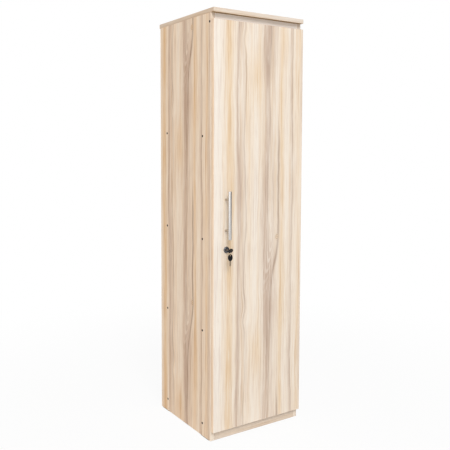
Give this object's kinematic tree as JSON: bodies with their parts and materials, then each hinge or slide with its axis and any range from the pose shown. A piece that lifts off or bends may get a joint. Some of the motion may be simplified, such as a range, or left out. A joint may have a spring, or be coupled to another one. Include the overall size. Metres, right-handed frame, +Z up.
{
  "type": "broom cupboard",
  "caption": "Tall narrow cupboard with a full-height lockable door, bar handle, concealed hinges, shelves on bearers, plinth and overhanging top.",
  "frame": {"origin": "floor level, in the middle of the outline seen from above, keys included", "axes": "+Z up, front of the cupboard towards -Y, +X to the right seen from the front"},
  "size_m": [0.466, 0.5139, 1.8],
  "materials": {
    "oak_board": "oak-print melamine, satin",
    "oak_edging": "oak-print edging strip, satin",
    "back_board": "plain hardboard",
    "black_plastic": "moulded, satin",
    "white_plastic": "moulded, satin",
    "dark_screw": "dark phosphated",
    "plated_steel": "zinc plated",
    "brushed_handle": "brushed",
    "chrome_lock": "polished",
    "nickel_hinge": "nickel plated"
  },
  "bodies": {
    "carcass": {"left_side_panel": "oak_board", "right_side_panel": "oak_board", "top_panel": "oak_board", "bottom_panel": "oak_board", "plinth": "oak_board", "top_front_rail": "oak_board", "lower_shelf": "oak_board", "middle_shelf": "oak_board", "upper_shelf": "oak_board", "left_shelf_bearers": "oak_board", "right_shelf_bearers": "oak_board", "carcass_edging": "oak_edging", "top_edging": "oak_edging", "back_panel": "back_board", "front_left_glide": "black_plastic", "front_right_glide": "black_plastic", "rear_left_glide": "black_plastic", "rear_right_glide": "black_plastic", "corner_blocks": "white_plastic", "left_side_screws": "dark_screw", "right_side_screws": "dark_screw", "back_pins": "plated_steel", "corner_block_screws": "plated_steel", "shelf_screws": "plated_steel", "strike_screws": "plated_steel", "strike": "plated_steel", "hinge_plate_screws": "plated_steel", "hinge_arm_pins": "plated_steel", "lower_hinge_plate": "nickel_hinge", "lower_hinge_arm": "nickel_hinge", "middle_hinge_plate": "nickel_hinge", "middle_hinge_arm": "nickel_hinge", "upper_hinge_plate": "nickel_hinge", "upper_hinge_arm": "nickel_hinge"},
    "hinge_inner_links": {"lower_hinge_inner_links": "nickel_hinge", "middle_hinge_inner_links": "nickel_hinge", "upper_hinge_inner_links": "nickel_hinge"},
    "hinge_outer_links": {"lower_hinge_outer_link": "nickel_hinge", "middle_hinge_outer_link": "nickel_hinge", "upper_hinge_outer_link": "nickel_hinge"},
    "door": {"door_panel": "oak_board", "door_edging": "oak_edging", "handle_bar": "brushed_handle", "handle_posts": "brushed_handle", "handle_screws": "plated_steel", "lock_body": "chrome_lock", "lock_nut": "plated_steel", "hinge_cup_pins": "plated_steel", "hinge_cup_screws": "plated_steel", "lower_hinge_cup": "nickel_hinge", "middle_hinge_cup": "nickel_hinge", "upper_hinge_cup": "nickel_hinge"},
    "lock_plug": {"lock_plug": "chrome_lock", "lock_cam": "plated_steel", "cam_screw": "plated_steel", "key_blade": "plated_steel", "key_bow": "black_plastic", "key_ring": "plated_steel"},
    "spare_key": {"spare_key_blade": "plated_steel", "spare_key_bow": "black_plastic"}
  },
  "joints": [
    {"name": "inner_link_turn", "type": "hinge", "parent": "carcass", "child": "hinge_inner_links", "pos_m": [0.197, -0.193, 0.9], "axis": [0, 0, 1], "range_deg": [-32, 0]},
    {"name": "door_swing", "type": "hinge", "parent": "hinge_inner_links", "child": "door", "pos_m": [0.2205, -0.1956, 0.9], "axis": [0, 0, 1], "range_deg": [0, 126.83]},
    {"name": "outer_link_turn", "type": "hinge", "parent": "carcass", "child": "hinge_outer_links", "pos_m": [0.1959, -0.1989, 0.9], "axis": [0, 0, 1], "range_deg": [-21, 0]},
    {"name": "lock_turn", "type": "hinge", "parent": "door", "child": "lock_plug", "pos_m": [-0.169, -0.215, 0.815], "axis": [0, 1, 0], "range_deg": [-45, 45]},
    {"name": "spare_key_hang", "type": "hinge", "parent": "lock_plug", "child": "spare_key", "pos_m": [-0.17623, -0.25125, 0.79797], "axis": [0, 1, 0], "range_deg": [-46, 46]}
  ],
  "couplings": [
    {"joint": "inner_link_turn", "follows": "door_swing", "ratio": -0.25094},
    {"joint": "outer_link_turn", "follows": "door_swing", "ratio": -0.16479},
    {"joint": "spare_key_hang", "follows": "lock_turn", "ratio": -1}
  ]
}
